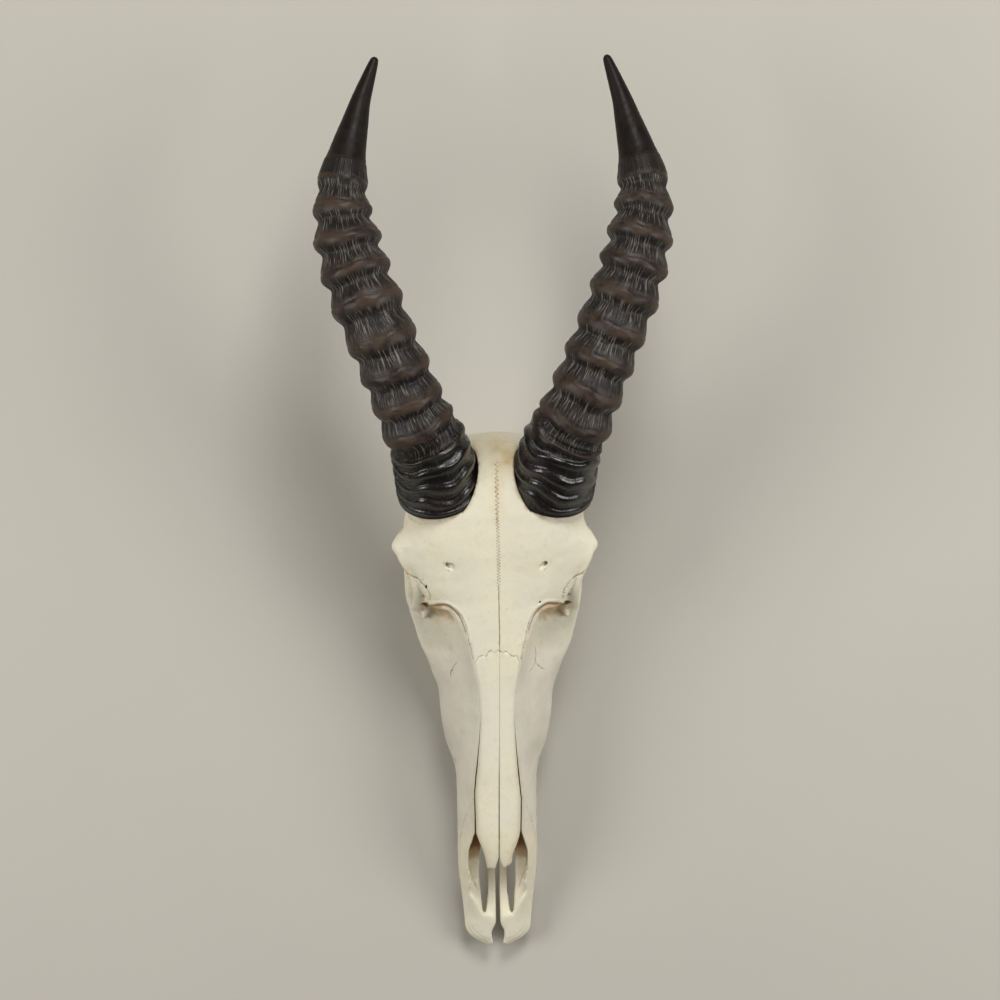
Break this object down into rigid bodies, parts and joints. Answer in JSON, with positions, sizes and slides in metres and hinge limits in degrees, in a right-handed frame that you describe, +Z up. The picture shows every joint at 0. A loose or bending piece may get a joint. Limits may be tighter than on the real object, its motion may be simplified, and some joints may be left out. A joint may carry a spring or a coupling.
{
  "type": "topi skull",
  "caption": "Skull of a topi antelope with ringed, lyre-shaped horns and upper cheek teeth, without its lower jaw, as a display or study specimen.",
  "frame": {"origin": "Middle of the bounding box in X and Y, on the surface that the skull lies on.", "axes": "+Y from the nose back to the horn tips, +Z up through the top of the skull, +X towards the animal's own left."},
  "size_m": [0.2715, 0.6855, 0.1895],
  "materials": {
    "bone": "matt bleached bone",
    "teeth": "satin enamel",
    "horn": "dark keratin, glossy near the base"
  },
  "bodies": {
    "root": {"cranium": "bone", "nasal_left": "bone", "nasal_right": "bone", "premaxilla_left": "bone", "premaxilla_right": "bone", "horn_left": "horn", "horn_right": "horn", "upper_premolar_2_left": "teeth", "upper_premolar_3_left": "teeth", "upper_premolar_4_left": "teeth", "upper_molar_1_left": "teeth", "upper_molar_2_left": "teeth", "upper_molar_3_left": "teeth", "upper_premolar_2_right": "teeth", "upper_premolar_3_right": "teeth", "upper_premolar_4_right": "teeth", "upper_molar_1_right": "teeth", "upper_molar_2_right": "teeth", "upper_molar_3_right": "teeth"}
  },
  "joints": []
}
